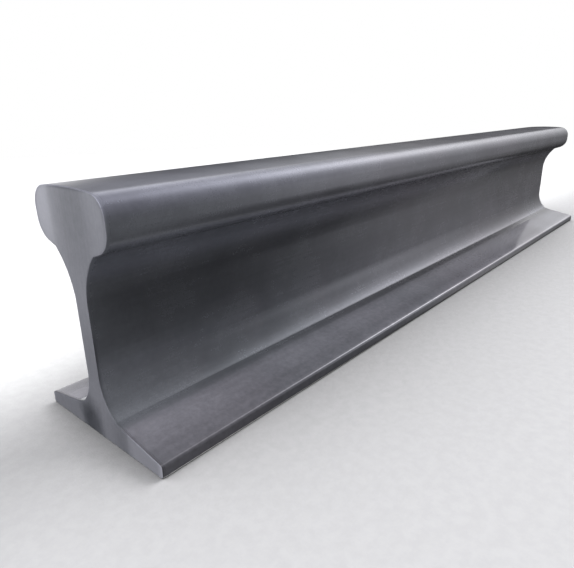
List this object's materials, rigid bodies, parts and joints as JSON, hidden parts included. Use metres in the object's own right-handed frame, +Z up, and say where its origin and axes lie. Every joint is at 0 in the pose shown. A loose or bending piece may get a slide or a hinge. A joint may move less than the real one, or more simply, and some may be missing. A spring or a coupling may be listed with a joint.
{
  "type": "steel rail",
  "caption": "Straight length of flat-bottomed steel rail with a crowned head, thin web and wide tapered foot, sawn square at both ends.",
  "frame": {"origin": "middle of the underside of the foot, halfway along the rail", "axes": "+X along the rail, +Y across the foot, +Z up from the foot to the running surface"},
  "size_m": [0.77, 0.114, 0.14],
  "materials": {
    "rolled_steel": "hot-rolled, dark blue-grey, satin, with faint streaks along the length and sawn ends"
  },
  "bodies": {
    "root": {"rail": "rolled_steel"}
  },
  "joints": []
}
